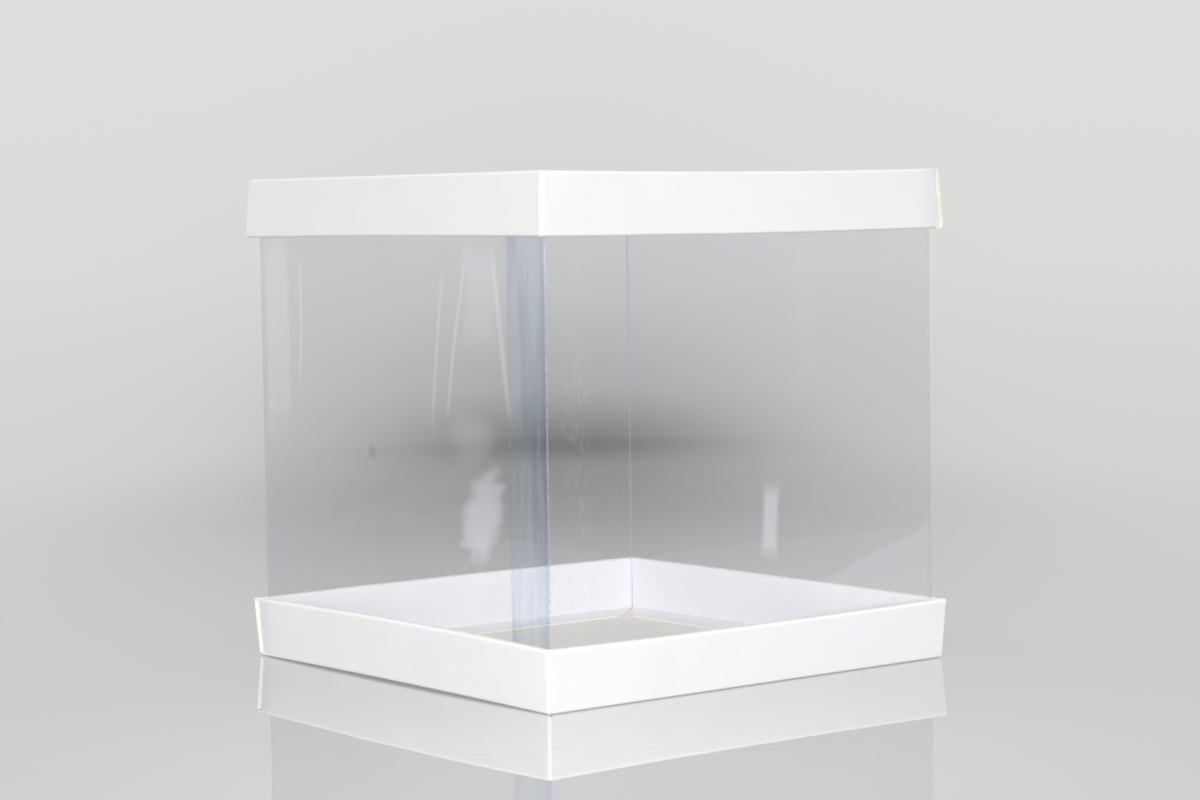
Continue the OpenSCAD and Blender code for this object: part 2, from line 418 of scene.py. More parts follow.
def sideGrids(wraps, looseEnd, longEnd):  # one side's sheets, with +X out of the box and +Y along the wall
    rows = rowsOfSide()
    grids = [stripOfSide(rows, wraps, looseEnd, longEnd)]
    if not wraps:
        return grids
    wall = [row for row in rows if row["slope"] is not None]
    foot = [row for row in wall if row["slope"] == footS]
    head = [row for row in wall if row["slope"] == headS]
    climb = [row for row in wall if footS < row["slope"] < headS]
    margin = []
    for row in wall:
        x, z = row["point"]
        ends = (rollHalf, wrapHalf(row["slope"]))
        margin.append([(Vector((x, y, z)), row["run"], y, row["wear"]) for y in ends])
    for sign in (1, -1):
        bulge = 1 if sign in (looseEnd, longEnd) else 1 + trayBoard["foldBulge"] / creaseOut
        for lines in (margin, foldOfCorner(foot, climb, head, bulge), tabOfCorner(climb)):
            grids.append([atEnd(line, sign, looseEnd) for line in lines])
    return grids


sides = ["right", "back", "left", "front"]  # each a quarter turn on from the one before
trays = {
    "baseTray": {
        "body": "base",
        "upsideDown": False,
        "wrapping": ("left", "right"),  # the walls that fold round the corners into tabs
        "looseCorner": ("left", "back"),  # where the fold and the covering wall have sprung apart
        "longCorner": ("front", "right"),  # where the covering wall is cut a little long
        # how the board has sprung: lift of the folded edge and of the rim at mid length
        "spring": {
            "left": (0.45 * mm, 0.85 * mm),
            "front": (0.0, -0.6 * mm),
            "right": (0.3 * mm, 0.2 * mm),
            "back": (0.15 * mm, 0.4 * mm),
        },
        "seed": 0.031,  # picks the noise of its rim's wave
    },
    "lidTray": {
        "body": "lid",
        "upsideDown": True,
        "wrapping": ("front", "back"),
        "looseCorner": ("front", "right"),
        "longCorner": ("left", "back"),
        "spring": {
            "left": (0.05 * mm, -0.3 * mm),
            "front": (0.65 * mm, 0.4 * mm),
            "right": (0.3 * mm, 0.1 * mm),
            "back": (0.4 * mm, -0.2 * mm),
        },
        "seed": 0.117,
    },
}
rimWave = {"height": 0.12 * mm, "length": 26 * mm}


def endAt(side, corner):  # which end of a side lies at a corner: 1, -1, or 0 for neither
    for end in (1, -1):
        if side in corner and sides[(sides.index(side) + end) % len(sides)] in corner:
            return end
    return 0


def springOf(tray):  # gives the lift of any point of a tray, in the tray's own upright frame
    def lift(p):
        x, y = p.x / outerHalf, p.y / outerHalf
        level = max(0.0, min(1.0, p.z / rimZ))
        total = 0.0
        for across, along, low, high in ((x, y, "left", "right"), (y, x, "front", "back")):
            foot, rim = tray["spring"][low if across < 0 else high]
            nearEdge = min(1.0, abs(across)) ** 2
            total += (foot + (rim - foot) * level) * nearEdge * max(0.0, 1 - along * along)
        wave = noise.noise(Vector((p.x, p.y, tray["seed"])) / rimWave["length"])
        offCorner = min(1.0, 2 * (max(0.0, 1 - x * x) + max(0.0, 1 - y * y)))
        return total + rimWave["height"] * wave * level ** 2 * offCorner
    return lift


def foldTray(name, tray):
    bm = bmesh.new()
    uvLayer = bm.loops.layers.uv.new("blank")
    wearLayer = bm.verts.layers.float.new("wear")
    columns = [t * rollHalf for t in columnShares()]
    lines = [-floorHalf, -wrapHalf(footS)] + columns + [wrapHalf(footS), floorHalf]
    addSheet(bm, uvLayer, wearLayer, [[(Vector((x, y, 0)), (x, y), 0.0) for y in lines] for x in lines])
    for turns, side in enumerate(sides):
        turned = Matrix.Rotation(turns * quarter, 4, "Z")
        ends = (endAt(side, tray["looseCorner"]), endAt(side, tray["longCorner"]))
        for grid in sideGrids(side in tray["wrapping"], *ends):
            placed = [
                [(turned @ p, turned @ Vector((*flat, 0)), wear) for p, flat, wear in row]
                for row in grid
            ]
            addSheet(bm, uvLayer, wearLayer, placed)
    bmesh.ops.remove_doubles(bm, verts=bm.verts, dist=trayBoard["weld"])
    for edge in bm.edges:
        edge.smooth = not edge.is_boundary  # the board's faces stay flat up to their cut edges
    lift = springOf(tray)
    for v in bm.verts:
        v.co.z += lift(v.co)
    if tray["upsideDown"]:
        for v in bm.verts:
            v.co.z = lidTopZ - v.co.z
        bmesh.ops.reverse_faces(bm, faces=bm.faces)
    mesh = bpy.data.meshes.new(name)
    bm.to_mesh(mesh)
    bm.free()
    for material in boardMaterials:
        mesh.materials.append(material)
    piece = makeObject(name, mesh)
    shell = piece.modifiers.new("thickness", "SOLIDIFY")
    shell.thickness = boardT
    shell.offset = -1
    shell.use_even_offset = True
    shell.use_quality_normals = True
    shell.material_offset = 1
    shell.material_offset_rim = 2
    print(name, "folded,", len(mesh.polygons), "faces")
    return piece


# Each tray's materials in the order that its shell takes them: coated face, bare back, cut edge
boardMaterials = [
    boardMaterial("clayCoatedBoard", coatedBoard),
    boardMaterial("greyPulpBoardBack", bareBoard),
    boardMaterial("guillotinedBoardEdge", cutBoard),
]
for name, tray in trays.items():
    piece = foldTray(name, tray)
    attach(piece, tray["body"])
    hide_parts(*[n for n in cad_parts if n.startswith(tray["body"] + "_")])

# The sleeve: clear PET sheet, creased four times and glued along its lap
sleeveLow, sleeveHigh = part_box("sleeve_front_panel")
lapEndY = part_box("sleeve_glue_lap")[1].y
sleeveHalf = -sleeveLow.y
sleeve = {
    "thickness": 0.3 * mm,
    "creaseRadius": 0.35 * mm,  # at the middle of the sheet
    "glueGap": 0.04 * mm,
    "edgeGap": 0.06 * mm,  # between the sheet's edges and the flaps
    "columnWidth": 2.5 * mm,
    "rowHeight": 4 * mm,
    "waveHeight": 0.5 * mm,
    "waveWidth": 34 * mm,
    "waveStretch": 0.4,  # below 1, the waves are longer upwards than sideways
    "waveDetail": 2.0,
    "waveRoughness": 0.3,
    "calmEdge": 14 * mm,  # width beside a crease over which the waves die out; at a tray it is twice that
    "seed": 3.0,
}
# Extruded clear PET sheet, glossy from the rolls: it takes a weak, sharp mirror and a trace of dust
petSheet = {
    "mirror": "#AAACB0",
    "ior": 1.54,
    "roughness": 0.012,
    "dustGrains": (0.5 * mm, 3.0, 0.7),
    "dustBand": (0.4, 0.8),
    "dustSpread": (0.5, 3.0),  # the thinnest and the thickest dust, as shares of the haze
}
# The flat panels: glass clear, with a scuffed strip beside the lap and a soft brown stain
clearSheet = {
    **petSheet,
    "tint": "#FEFEFF",
    "dust": "#F2F4F7",
    "haze": 0.008,
    "scuff": {
        "place": (-64 * mm, -75 * mm, 0),
        "radius": 9 * mm,
        "cover": 0.09,
        "scratches": (0.6 * mm, 4.0, 0.75),
        "band": (0.5, 0.75),
        "stretch": (1, 1, 0.3),  # a smaller last number draws the scratches out upwards
    },
    "stain": {"colour": "#F9F3E7", "place": (-75 * mm, 12.7 * mm, 69 * mm), "radius": 3.3 * mm},
}
# The creases: stretched and whitened, a faint lavender that mirrors little
creasedSheet = {
    **petSheet,
    "tint": "#F7F6FC",
    "mirror": "#B6B6D0",
    "mirrorShare": 0.04,
    "dust": "#D0D1E6",
    "haze": 0.14,
}
# The lap, where clear glue fills the gap: bluer, with smears that run up and down and a fainter mirror
gluedSheet = {
    **petSheet,
    "tint": "#FAFCFE",
    "ior": 1.15,
    "dust": "#D3DAE6",
    "haze": 0.01,
    "glue": {
        "colour": "#ECF2F8",
        "cover": 0.1,
        "smears": (1.2 * mm, 3.0, 0.6),
        "smearBand": (0.45, 0.7),
        "pools": (3 * mm, 2.0, 0.5),
        "poolBand": (0.4, 0.6),
        "stretch": (1, 1, 0.1),
    },
}
glancePower = 5.0  # how steeply a clear surface's mirror grows towards a glancing view
plainBlend = 0.5  # at which Layer Weight's Facing is one minus the cosine of the view


def mirrorShare(tree, film):  # how much of the light a face of the film mirrors
    if "mirrorShare" in film:
        return film["mirrorShare"]
    flatFace = addNode(tree, "ShaderNodeNewGeometry").outputs["True Normal"]
    view = addNode(tree, "ShaderNodeLayerWeight", {"Blend": plainBlend, "Normal": flatFace})
    steep = addNode(tree, "ShaderNodeMath", {0: view.outputs["Facing"], 1: glancePower}, operation="POWER")
    headOn = ((film["ior"] - 1) / (film["ior"] + 1)) ** 2
    return addNode(tree, "ShaderNodeMapRange", {"Value": steep, "To Min": headOn, "To Max": 1.0})


def closeTo(tree, place, middle, radius):  # 1 at a point and 0 from a radius away from it
    away = addNode(tree, "ShaderNodeVectorMath", {0: place, 1: middle}, operation="DISTANCE")
    return addNode(
        tree, "ShaderNodeMapRange",
        {"Value": away.outputs["Value"], "From Max": radius, "To Min": 1.0, "To Max": 0.0},
        interpolation_type="SMOOTHSTEP",
    )


def addGlue(tree, place, film, cover):  # the cover with the smears, and the tint with the pools of glue
    glue = film["glue"]
    upright = addNode(tree, "ShaderNodeVectorMath", {0: place, 1: glue["stretch"]}, operation="MULTIPLY")
    smears = addNode(tree, "ShaderNodeTexNoise", grains(upright, glue["smears"]))
    low, high = glue["smearBand"]
    smeared = addNode(
        tree, "ShaderNodeMapRange",
        {"Value": smears, "From Min": low, "From Max": high, "To Max": glue["cover"]},
    )
    pools = addNode(tree, "ShaderNodeTexNoise", grains(upright, glue["pools"]))
    low, high = glue["poolBand"]
    pooled = addNode(tree, "ShaderNodeMapRange", {"Value": pools, "From Min": low, "From Max": high})
    tint = addNode(
        tree, "ShaderNodeMix",
        {"Factor_Float": pooled, "A_Color": srgb(film["tint"]), "B_Color": srgb(glue["colour"])},
        data_type="RGBA",
    ).outputs[2]
    return addNode(tree, "ShaderNodeMath", {0: cover, 1: smeared}, operation="ADD"), tint


def addScuffAndStain(tree, place, film, cover):  # the cover with the scuff, and the tint with the stain
    scuff, stain = film["scuff"], film["stain"]
    level = addNode(tree, "ShaderNodeVectorMath", {0: place, 1: (1, 1, 0)}, operation="MULTIPLY")
    near = closeTo(tree, level, scuff["place"], scuff["radius"])
    upright = addNode(tree, "ShaderNodeVectorMath", {0: place, 1: scuff["stretch"]}, operation="MULTIPLY")
    scratches = addNode(tree, "ShaderNodeTexNoise", grains(upright, scuff["scratches"]))
    low, high = scuff["band"]
    scratched = addNode(
        tree, "ShaderNodeMapRange",
        {"Value": scratches, "From Min": low, "From Max": high, "To Max": scuff["cover"]},
    )
    rubbed = addNode(tree, "ShaderNodeMath", {0: scratched, 1: near}, operation="MULTIPLY")
    spot = closeTo(tree, place, stain["place"], stain["radius"])
    tint = addNode(
        tree, "ShaderNodeMix",
        {"Factor_Float": spot, "A_Color": srgb(film["tint"]), "B_Color": srgb(stain["colour"])},
        data_type="RGBA",
    ).outputs[2]
    return addNode(tree, "ShaderNodeMath", {0: cover, 1: rubbed}, operation="ADD"), tint


def filmMaterial(name, film):
    material, tree = newMaterial(name)
    place = addNode(tree, "ShaderNodeTexCoord").outputs["Object"]
    dusty = addNode(tree, "ShaderNodeTexNoise", grains(place, film["dustGrains"]))
    low, high = film["dustBand"]
    thin, thick = (share * film["haze"] for share in film["dustSpread"])
    cover = addNode(
        tree, "ShaderNodeMapRange",
        {"Value": dusty, "From Min": low, "From Max": high, "To Min": thin, "To Max": thick},
    )
    tint = srgb(film["tint"])
    if "glue" in film:
        cover, tint = addGlue(tree, place, film, cover)
    if "stain" in film:
        cover, tint = addScuffAndStain(tree, place, film, cover)
    through = addNode(tree, "ShaderNodeBsdfTransparent", {"Color": tint})
    mirror = addNode(
        tree, "ShaderNodeBsdfGlossy", {"Color": srgb(film["mirror"]), "Roughness": film["roughness"]}
    )
    clear = addNode(tree, "ShaderNodeMixShader", {0: mirrorShare(tree, film), 1: through, 2: mirror})
    dust = addNode(tree, "ShaderNodeBsdfDiffuse", {"Color": srgb(film["dust"])})
    surface = addNode(tree, "ShaderNodeMixShader", {0: cover, 1: clear, 2: dust})
    addNode(tree, "ShaderNodeOutputMaterial", {"Surface": surface})
    return material


def sleevePath():  # the sheet's middle from above, from the lap's free edge to the left panel's end
    half = sleeveHalf - sleeve["thickness"] / 2
    inner = half - sleeve["thickness"] - sleeve["glueGap"]
    radius = sleeve["creaseRadius"]
    axis = half - radius
    points = [(-inner, lapEndY)]
    corners = [
        (-inner + radius, -axis, 2 * quarter),
        (axis, -axis, 3 * quarter),
        (axis, axis, 0.0),
        (-axis, axis, quarter),
    ]
    for x, y, start in corners:
        arc = bend((x, y), radius, start, quarter)
        points += straight(points[-1], arc[0], sleeve["columnWidth"]) + arc
    last = (-half, -sleeveHalf)
    points += straight(points[-1], last, sleeve["columnWidth"]) + [last]
    curve = bpy.data.curves.new("sleevePath", "CURVE")
    curve.dimensions = "3D"
    spline = curve.splines.new("POLY")
    spline.points.add(len(points) - 1)
    for point, (x, y) in zip(spline.points, points):
        point.co = (x, y, sleeveLow.z, 1)
    return makeObject("sleevePath", curve)


def sleeveTree(values):  # sweeps an upright line along the path, waves the sheet and sets its material
    tree = bpy.data.node_groups.new("filmSleeve", "GeometryNodeTree")
    tree.interface.new_socket("Geometry", in_out="INPUT", socket_type="NodeSocketGeometry")
    sockets = {}
    for label, value in values.items():
        kind = {float: "NodeSocketFloat", int: "NodeSocketInt"}.get(type(value), "NodeSocketMaterial")
        sockets[label] = tree.interface.new_socket(label, in_out="INPUT", socket_type=kind).identifier
    tree.interface.new_socket("Geometry", in_out="OUTPUT", socket_type="NodeSocketGeometry")
    given = addNode(tree, "NodeGroupInput").outputs
    upright = addNode(tree, "GeometryNodeSetCurveNormal", {"Curve": given["Geometry"]}, mode="Z_UP")
    downwards = addNode(tree, "ShaderNodeMath", {0: given["Height"], 1: -1.0}, operation="MULTIPLY")
    end = addNode(tree, "ShaderNodeCombineXYZ", {"Y": downwards})
    line = addNode(tree, "GeometryNodeCurvePrimitiveLine", {"End": end})
    rungs = addNode(tree, "GeometryNodeResampleCurve", {"Curve": line, "Count": given["Rows"]})
    swept = addNode(tree, "GeometryNodeCurveToMesh", {"Curve": upright, "Profile Curve": rungs})
    # The waves are full in the middle of a panel and die out towards its creases and the trays
    place = addNode(tree, "GeometryNodeInputPosition").outputs[0]
    parts = addNode(tree, "ShaderNodeSeparateXYZ", {"Vector": place}).outputs
    spans = [addNode(tree, "ShaderNodeMath", {0: parts[i]}, operation="ABSOLUTE") for i in (0, 1)]
    along = addNode(tree, "ShaderNodeMath", {0: spans[0], 1: spans[1]}, operation="MINIMUM")
    fromCrease = addNode(tree, "ShaderNodeMath", {0: given["Half Width"], 1: along}, operation="SUBTRACT")
    up = addNode(tree, "ShaderNodeMath", {0: parts[2], 1: given["Foot"]}, operation="SUBTRACT")
    down = addNode(tree, "ShaderNodeMath", {0: given["Height"], 1: up}, operation="SUBTRACT")
    ends = addNode(tree, "ShaderNodeMath", {0: up, 1: down}, operation="MINIMUM")
    fromTray = addNode(tree, "ShaderNodeMath", {0: ends, 1: given["Tray Depth"]}, operation="SUBTRACT")
    twice = addNode(tree, "ShaderNodeMath", {0: given["Calm Edge"], 1: 2.0}, operation="MULTIPLY")
    calm = [
        addNode(
            tree, "ShaderNodeMapRange", {"Value": source, "From Min": 0.0, "From Max": width},
            interpolation_type="SMOOTHSTEP",
        )
        for source, width in ((fromCrease, given["Calm Edge"]), (fromTray, twice))
    ]
    free = addNode(tree, "ShaderNodeMath", {0: calm[0], 1: calm[1]}, operation="MULTIPLY")
    stretch = addNode(tree, "ShaderNodeCombineXYZ", {"X": 1.0, "Y": 1.0, "Z": given["Wave Stretch"]})
    scaled = addNode(tree, "ShaderNodeVectorMath", {0: place, 1: stretch}, operation="MULTIPLY")
    scale = addNode(tree, "ShaderNodeMath", {0: grainSpan, 1: given["Wave Width"]}, operation="DIVIDE")
    waves = addNode(
        tree, "ShaderNodeTexNoise",
        {"Vector": scaled, "W": given["Seed"], "Scale": scale, "Detail": given["Wave Detail"],
         "Roughness": given["Wave Roughness"]},
        noise_dimensions="4D",
    )
    centred = addNode(tree, "ShaderNodeMath", {0: waves, 1: noiseMean}, operation="SUBTRACT")
    height = addNode(tree, "ShaderNodeMath", {0: centred, 1: given["Wave Height"]}, operation="MULTIPLY")
    shift = addNode(tree, "ShaderNodeMath", {0: height, 1: free}, operation="MULTIPLY")
    outwards = addNode(tree, "GeometryNodeInputNormal").outputs[0]
    offset = addNode(tree, "ShaderNodeVectorMath", {0: outwards, "Scale": shift}, operation="SCALE")
    waved = addNode(tree, "GeometryNodeSetPosition", {"Geometry": swept, "Offset": offset})
    smooth = addNode(tree, "GeometryNodeSetShadeSmooth", {"Geometry": waved})
    real = addNode(tree, "GeometryNodeRealizeInstances", {"Geometry": smooth})
    dressed = addNode(tree, "GeometryNodeSetMaterial", {"Geometry": real, "Material": given["Material"]})
    addNode(tree, "NodeGroupOutput", {"Geometry": dressed})
    return tree, sockets


def finishedMesh(piece, name):  # the evaluated piece as a plain mesh object; the source goes
    depsgraph = bpy.context.evaluated_depsgraph_get()
    mesh = bpy.data.meshes.new_from_object(piece.evaluated_get(depsgraph))
    bpy.data.objects.remove(piece)
    mesh.name = name
    return makeObject(name, mesh)


def sweepSleeve():
    height = sleeveHigh.z - sleeveLow.z
    values = {
        "Height": height,
        "Rows": round(height / sleeve["rowHeight"]) + 1,
        "Half Width": sleeveHalf,
        "Foot": sleeveLow.z,
        "Tray Depth": rimZ - seatZ,
        "Calm Edge": sleeve["calmEdge"],
        "Wave Height": sleeve["waveHeight"],
        "Wave Width": sleeve["waveWidth"],
        "Wave Stretch": sleeve["waveStretch"],
        "Wave Detail": sleeve["waveDetail"],
        "Wave Roughness": sleeve["waveRoughness"],
        "Seed": sleeve["seed"],
        "Material": filmMaterial("clearPetSheet", clearSheet),
    }
    path = sleevePath()
    tree, sockets = sleeveTree(values)
    sweep = path.modifiers.new("filmSleeve", "NODES")
    sweep.node_group = tree
    for label, value in values.items():
        sweep[sockets[label]] = value
    return finishedMesh(path, "filmSleeve")


def markLapAndCreases(film):
    film.data.materials.append(filmMaterial("gluedPetLap", gluedSheet))
    film.data.materials.append(filmMaterial("creasedPetSheet", creasedSheet))
    edge = sleeveHalf - 2 * sleeve["thickness"] - sleeve["creaseRadius"]
    lapFace = sleeveHalf - sleeve["thickness"] - sleeve["glueGap"]
    for face in film.data.polygons:
        x, y = face.center.x, face.center.y
        if min(abs(x), abs(y)) > edge:
            face.material_index = 2
        elif -lapFace < x < -edge and y < lapEndY:
            face.material_index = 1


def fitToTrays(film):  # the sheet stands on the sprung base and under the sprung lid
    liftBase, liftLid = (springOf(tray) for tray in trays.values())
    for v in film.data.vertices:
        share = (v.co.z - sleeveLow.z) / (sleeveHigh.z - sleeveLow.z)
        level = Vector((v.co.x, v.co.y, 0))
        foot = liftBase(level) + sleeve["edgeGap"]
        head = liftLid(level) + sleeve["edgeGap"]
        v.co.z += foot * (1 - share) - head * share


def buildSleeve():
    film = sweepSleeve()
    markLapAndCreases(film)
    fitToTrays(film)
    shell = film.modifiers.new("thickness", "SOLIDIFY")
    shell.thickness = sleeve["thickness"]
    shell.offset = 0
    shell.use_even_offset = True
    shell.material_offset_rim = 2  # the cut edges are whitened as the creases are
    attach(film, "sleeve")
    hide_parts(*[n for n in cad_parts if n.startswith("sleeve_")])
    film.visible_shadow = False  # clear film takes next to no light from what it holds
    film.visible_diffuse = False
    print("sleeve made,", len(film.data.polygons), "faces")


buildSleeve()

# Stage: a glossy table that sweeps up into a pale tent all round
stage = {
    "firstRing": 0.25,  # radius of the first ring of faces round the middle
    "flat": 0.9,  # radius of the table
    "curve": 0.45,  # radius of the sweep up
    "top": 1.7,
    "around": 96,
    "litRadius": 0.25,  # the table is lit by the lamps out to here,
    "tentRadius": 0.75,  # and from here out it glows as the tent does
    "table": "#B8B8B7",
    "mirror": "#FFFFFF",
    "headOn": 0.05,  # how much of the light it mirrors seen from above
    "gloss": 2.8,  # and how steeply that grows towards a glancing view
    "roughness": 0.015,
    "climb": 0.3,  # height over which the tent's colours run
    "colours": {0.0: "#D3D3D1", 0.33: "#DBDBDA", 1.0: "#DEDEDE"},  # by their share of that height
    "tentLight": (0.6, 1.05),  # how brightly the table and the walls light the box
}
# Painted soft shadows behind the box, and a painted pool of light before it: how far behind and to the left of
# the box their middles lie, how dark they are (below zero where light is painted), and their half width and
# half length
paintedShades = {
    "behindBox": {"away": 0.85, "aside": 0.018, "depth": 0.62, "width": 0.073, "length": 0.1},
    "throughBox": {"away": 0.61, "aside": 0.02, "depth": 0.53, "width": 0.105, "length": 0.25},
    "horizon": {"away": 1.03, "aside": 0.03, "depth": 0.17, "width": 0.13, "length": 0.11},
    "paintedLightFront": {"away": -0.2, "aside": 0.0, "depth": -0.13, "width": 0.09, "length": 0.08},
}


def paintedShadingOf(tree, place):  # how bright the stage's painted shading is at a place: 1, less a bell of painted shade in each painted shadow, more in the painted light
    turned = addNode(
        tree, "ShaderNodeVectorRotate", {"Vector": place, "Angle": -math.radians(shot["yaw"])},
        rotation_type="Z_AXIS",
    )
    behind = addNode(tree, "ShaderNodeSeparateXYZ", {"Vector": turned}).outputs
    strength = 1.0
    for shade in paintedShades.values():
        squares = []
        for i, middle, half in ((0, "away", "length"), (1, "aside", "width")):
            off = addNode(tree, "ShaderNodeMath", {0: behind[i], 1: shade[middle]}, operation="SUBTRACT")
            share = addNode(tree, "ShaderNodeMath", {0: off, 1: shade[half]}, operation="DIVIDE")
            squares.append(addNode(tree, "ShaderNodeMath", {0: share, 1: share}, operation="MULTIPLY"))
        both = addNode(tree, "ShaderNodeMath", {0: squares[0], 1: squares[1]}, operation="ADD")
        fall = addNode(tree, "ShaderNodeMath", {0: both, 1: -2.0}, operation="DIVIDE")
        bell = addNode(tree, "ShaderNodeMath", {0: fall}, operation="EXPONENT")
        dark = addNode(
            tree, "ShaderNodeMath", {0: bell, 1: -shade["depth"], 2: 1.0}, operation="MULTIPLY_ADD"
        )
        strength = addNode(tree, "ShaderNodeMath", {0: dark, 1: strength}, operation="MULTIPLY")
    return strength


def tentGlow(tree, height, shade, bounced):  # the tent as it is seen, dimmer where it only lights the box
    climb = addNode(tree, "ShaderNodeMapRange", {"Value": height, "From Max": stage["climb"]})
    colour = addNode(tree, "ShaderNodeValToRGB", {"Fac": climb})
    stops = colour.color_ramp.elements
    while len(stops) < len(stage["colours"]):
        stops.new(0.5)
    for stop, (at, hexColour) in zip(stops, stage["colours"].items()):
        stop.position = at
        stop.color = srgb(hexColour)
    low, high = stage["tentLight"]
    tent = addNode(tree, "ShaderNodeMapRange", {"Value": climb, "To Min": low, "To Max": high})
    dimmed = addNode(tree, "ShaderNodeMapRange", {"Value": bounced, "To Min": 1.0, "To Max": tent})
    # the painted shadows and painted light change the tent's glow too
    strength = addNode(tree, "ShaderNodeMath", {0: shade, 1: dimmed}, operation="MULTIPLY")
    return addNode(tree, "ShaderNodeEmission", {"Color": colour, "Strength": strength})


def litTable(tree, shade):
    # the painted shadows and painted light scale both the table's own colour and its mirror
    shaded = [
        addNode(tree, "ShaderNodeVectorMath", {0: srgb(stage[k])[:3], "Scale": shade}, operation="SCALE")
        for k in ("table", "mirror")
    ]
    dull = addNode(tree, "ShaderNodeBsdfDiffuse", {"Color": shaded[0]})
    mirror = addNode(tree, "ShaderNodeBsdfGlossy", {"Color": shaded[1], "Roughness": stage["roughness"]})
    facing = addNode(tree, "ShaderNodeLayerWeight", {"Blend": plainBlend}).outputs["Facing"]
    steep = addNode(tree, "ShaderNodeMath", {0: facing, 1: stage["gloss"]}, operation="POWER")
    share = addNode(tree, "ShaderNodeMapRange", {"Value": steep, "To Min": stage["headOn"], "To Max": 1.0})
    return addNode(tree, "ShaderNodeMixShader", {0: share, 1: dull, 2: mirror})


def stageMaterial():  # lit near the box; further out it glows in its own colour, as a lit tent does
    material, tree = newMaterial("lacqueredTable")
    material.cycles.emission_sampling = "NONE"  # so that a surface is lit by just what it sees of the tent
    place = addNode(tree, "ShaderNodeTexCoord").outputs["Object"]
    height = addNode(tree, "ShaderNodeSeparateXYZ", {"Vector": place}).outputs[2]
    flat = addNode(tree, "ShaderNodeVectorMath", {0: place, 1: (1, 1, 0)}, operation="MULTIPLY")
    radius = addNode(tree, "ShaderNodeVectorMath", {0: flat}, operation="LENGTH").outputs["Value"]
    far = addNode(
        tree, "ShaderNodeMapRange",
        {"Value": radius, "From Min": stage["litRadius"], "From Max": stage["tentRadius"]},
        interpolation_type="SMOOTHSTEP",
    )
    bounced = addNode(tree, "ShaderNodeLightPath").outputs["Is Diffuse Ray"]
    share = addNode(tree, "ShaderNodeMath", {0: far, 1: bounced}, operation="MAXIMUM")
    # painted shadows behind the box and painted light before it, as one strength
    shade = paintedShadingOf(tree, place)
    surface = addNode(
        tree, "ShaderNodeMixShader",
        {0: share, 1: litTable(tree, shade), 2: tentGlow(tree, height, shade, bounced)},
    )
    addNode(tree, "ShaderNodeOutputMaterial", {"Surface": surface})
    return material


def buildStage():
    flat, curve = stage["flat"], stage["curve"]
    profile = [(stage["firstRing"], 0.0), (flat / 2, 0.0)]
    profile += bend((flat, curve), curve, -quarter, quarter) + [(flat + curve, stage["top"])]
    bm = bmesh.new()
    turns = [2 * math.pi * i / stage["around"] for i in range(stage["around"])]
    rings = [[bm.verts.new((r * math.cos(a), r * math.sin(a), z)) for a in turns] for r, z in profile]
    middle = bm.verts.new((0, 0, 0))
    for i in range(len(turns)):
        j = (i + 1) % len(turns)
        bm.faces.new((middle, rings[0][i], rings[0][j]))
        for low, high in zip(rings, rings[1:]):
            bm.faces.new((low[i], high[i], high[j], low[j]))
    for face in bm.faces:
        face.smooth = True
    mesh = bpy.data.meshes.new("table")
    bm.to_mesh(mesh)
    bm.free()
    mesh.materials.append(stageMaterial())
    makeObject("table", mesh)
    print("stage made")


buildStage()

# Lamps: a broad soft light from the front, another overhead, a reflector for the base and an even fill
plainCard = {
    "tilt": 0,  # degrees about the line of sight
    "round": False,
    "soft": 0.5,  # share of the card over which its light fades towards the edge
    "uneven": 0.5,  # how much the fade wanders in and out,
    "ripple": 20 * mm,  # and over what length
}
lamps = {
    "frontSoftbox": {"place": (-0.72, -0.88, 0.24), "aim": (0, 0, 0.07), "size": (0.9, 0.42), "power": 13.9},
    "topSoftbox": {"place": (0, 0, 1.4), "aim": (0, 0, 0), "size": (1.0, 1.0), "power": 5.2},
    "baseReflector": {
        "place": (-0.74, -0.8, 0.45), "aim": (0, 0, 0.01), "size": (0.9, 0.42), "power": 3.7,
        "only": "baseTray",
    },
}
fill = {"colour": "#FFFFFF", "strength": 0.4}

# Small cards that only the film sees, as the windows and white cards of a studio glint in it. Each says
# where on its panel the camera sees it, along and up, and how far off the panel it hangs.
glintSpread = math.radians(30)
plainGlint = {**plainCard, "panel": "left", "away": 0.3, "only": "filmSleeve"}
glints = {
    "leftBlob": {
        "seen": (-44.1 * mm, 54 * mm), "size": (0.018, 0.048), "glow": 4.0, "tilt": -10, "round": True,
        "ripple": 9 * mm, "uneven": 0.8, "soft": 0.6,
    },
    "leftArch": {
        "seen": (-40.1 * mm, 75.8 * mm), "size": (0.022, 0.026), "glow": 1.8, "round": True, "soft": 0.8,
    },
    "leftLine": {"seen": (-23.3 * mm, 100.3 * mm), "size": (0.0012, 0.075), "glow": 2.0, "tilt": -4},
    # two thin lines that lean together above the blob, with a faint light between them
    "tentLeft": {"seen": (-33 * mm, 104.9 * mm), "size": (0.0012, 0.078), "glow": 2.4, "tilt": -6},
    "tentRight": {"seen": (-54 * mm, 105.1 * mm), "size": (0.002, 0.078), "glow": 2.0, "tilt": 5},
    "tent": {"seen": (-44.4 * mm, 116.8 * mm), "size": (0.014, 0.05), "glow": 1.1},
    "leftRipple": {
        "seen": (66.9 * mm, 103.2 * mm), "size": (0.0115, 0.09), "glow": 1.1, "uneven": 0.7, "soft": 0.35,
    },
    "leftThread": {"seen": (52.5 * mm, 107.9 * mm), "size": (0.0011, 0.066), "glow": 1.6},
    "rightGlint": {
        "panel": "front", "away": 0.035, "seen": (8.4 * mm, 48.3 * mm), "size": (0.0062, 0.027),
        "glow": 4.5, "tilt": -3, "ripple": 8 * mm, "uneven": 0.4, "soft": 0.6,
    },
    "rightFan": {
        "panel": "front", "away": 0.12, "seen": (64.7 * mm, 23.9 * mm), "size": (0.072, 0.034),
        "glow": 1.5, "tilt": 26, "uneven": 0.3, "soft": 0.25,
    },
}


